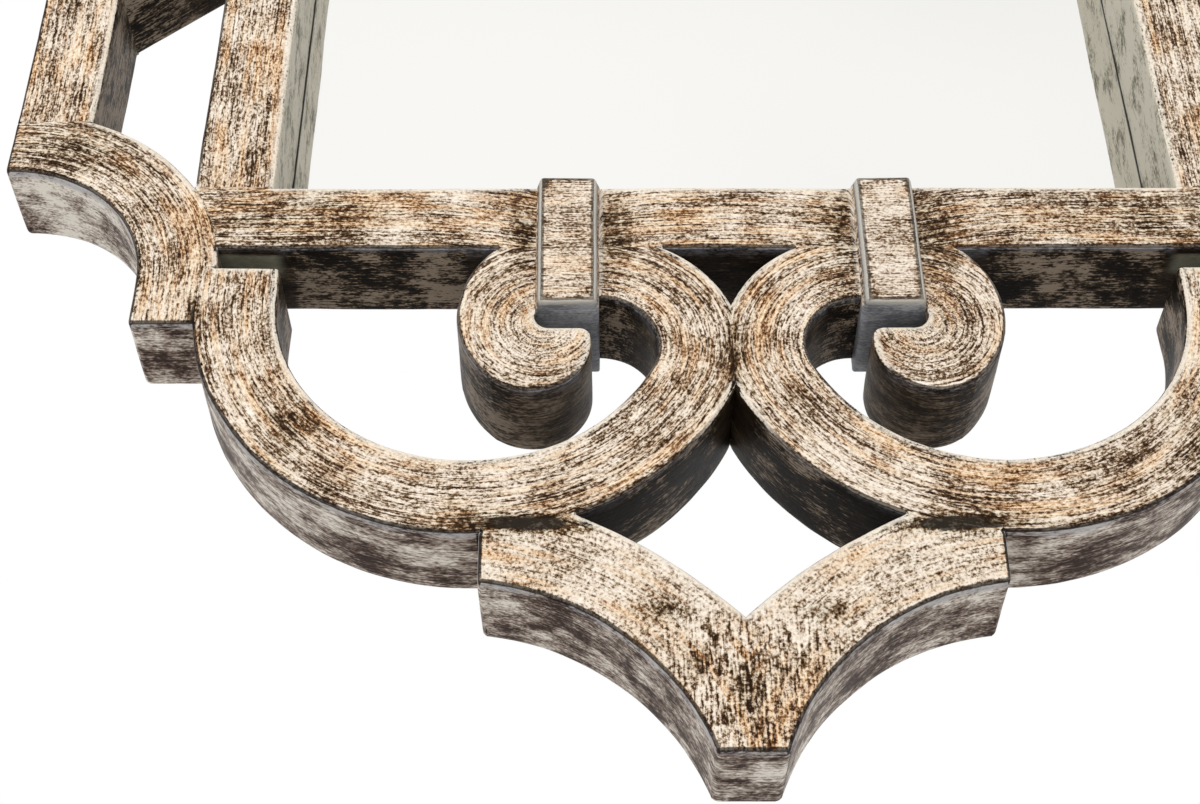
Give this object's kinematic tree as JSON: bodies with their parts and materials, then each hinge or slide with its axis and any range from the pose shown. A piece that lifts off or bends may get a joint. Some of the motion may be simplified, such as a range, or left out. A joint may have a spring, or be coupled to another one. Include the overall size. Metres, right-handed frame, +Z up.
{
  "type": "wall mirror",
  "caption": "Wall mirror in a tall fretwork frame of thick square bars with scrolls and pointed aprons, hung from hinged rings on the back.",
  "frame": {"origin": "middle of the mirror's box", "axes": "+X across the mirror to the right as seen from the room, +Y towards the wall, +Z up"},
  "size_m": [0.8026, 0.07, 1.2004],
  "materials": {
    "distressed_paint": "cream paint brushed over brown wood, rubbed back along the bars, matt",
    "mirror_glass": "silvered float glass",
    "hardboard": "smooth brown hardboard",
    "dowel_wood": "plain fluted beech",
    "plated_steel": "yellow zinc plate, slightly dull",
    "rubber": "black, matt"
  },
  "bodies": {
    "frame": {"apron_dowels": "dowel_wood", "backing_board": "hardboard", "backing_screws": "plated_steel", "bottom_rail": "distressed_paint", "brace_foot_dowels": "dowel_wood", "brace_point_dowels": "dowel_wood", "collar_dowels": "dowel_wood", "corner_dowels": "dowel_wood", "curl_dowels": "dowel_wood", "hanger_screws": "plated_steel", "left_hanger_strap": "plated_steel", "left_outer_rail": "distressed_paint", "left_stile": "distressed_paint", "lower_apron": "distressed_paint", "lower_left_brace": "distressed_paint", "lower_left_collar": "distressed_paint", "lower_left_curl": "distressed_paint", "lower_left_scroll": "distressed_paint", "lower_left_shoulder": "distressed_paint", "lower_right_brace": "distressed_paint", "lower_right_collar": "distressed_paint", "lower_right_curl": "distressed_paint", "lower_right_scroll": "distressed_paint", "lower_right_shoulder": "distressed_paint", "mirror_glass": "mirror_glass", "rail_end_dowels": "dowel_wood", "right_hanger_strap": "plated_steel", "right_outer_rail": "distressed_paint", "right_stile": "distressed_paint", "scroll_arm_dowels": "dowel_wood", "scroll_centre_dowels": "dowel_wood", "scroll_top_dowels": "dowel_wood", "shoulder_dowels": "dowel_wood", "top_rail": "distressed_paint", "upper_apron": "distressed_paint", "upper_left_brace": "distressed_paint", "upper_left_collar": "distressed_paint", "upper_left_curl": "distressed_paint", "upper_left_scroll": "distressed_paint", "upper_left_shoulder": "distressed_paint", "upper_right_brace": "distressed_paint", "upper_right_collar": "distressed_paint", "upper_right_curl": "distressed_paint", "upper_right_scroll": "distressed_paint", "upper_right_shoulder": "distressed_paint", "wall_bumpers": "rubber"},
    "left_ring": {"left_hanger_ring": "plated_steel"},
    "right_ring": {"right_hanger_ring": "plated_steel"}
  },
  "joints": [
    {"name": "left_ring_swing", "type": "hinge", "parent": "frame", "child": "left_ring", "pos_m": [-0.37934, 0.0321, 0.14997], "axis": [1, 0, 0], "range_deg": [0, 180]},
    {"name": "right_ring_swing", "type": "hinge", "parent": "frame", "child": "right_ring", "pos_m": [0.37934, 0.0321, 0.14997], "axis": [1, 0, 0], "range_deg": [0, 180]}
  ]
}
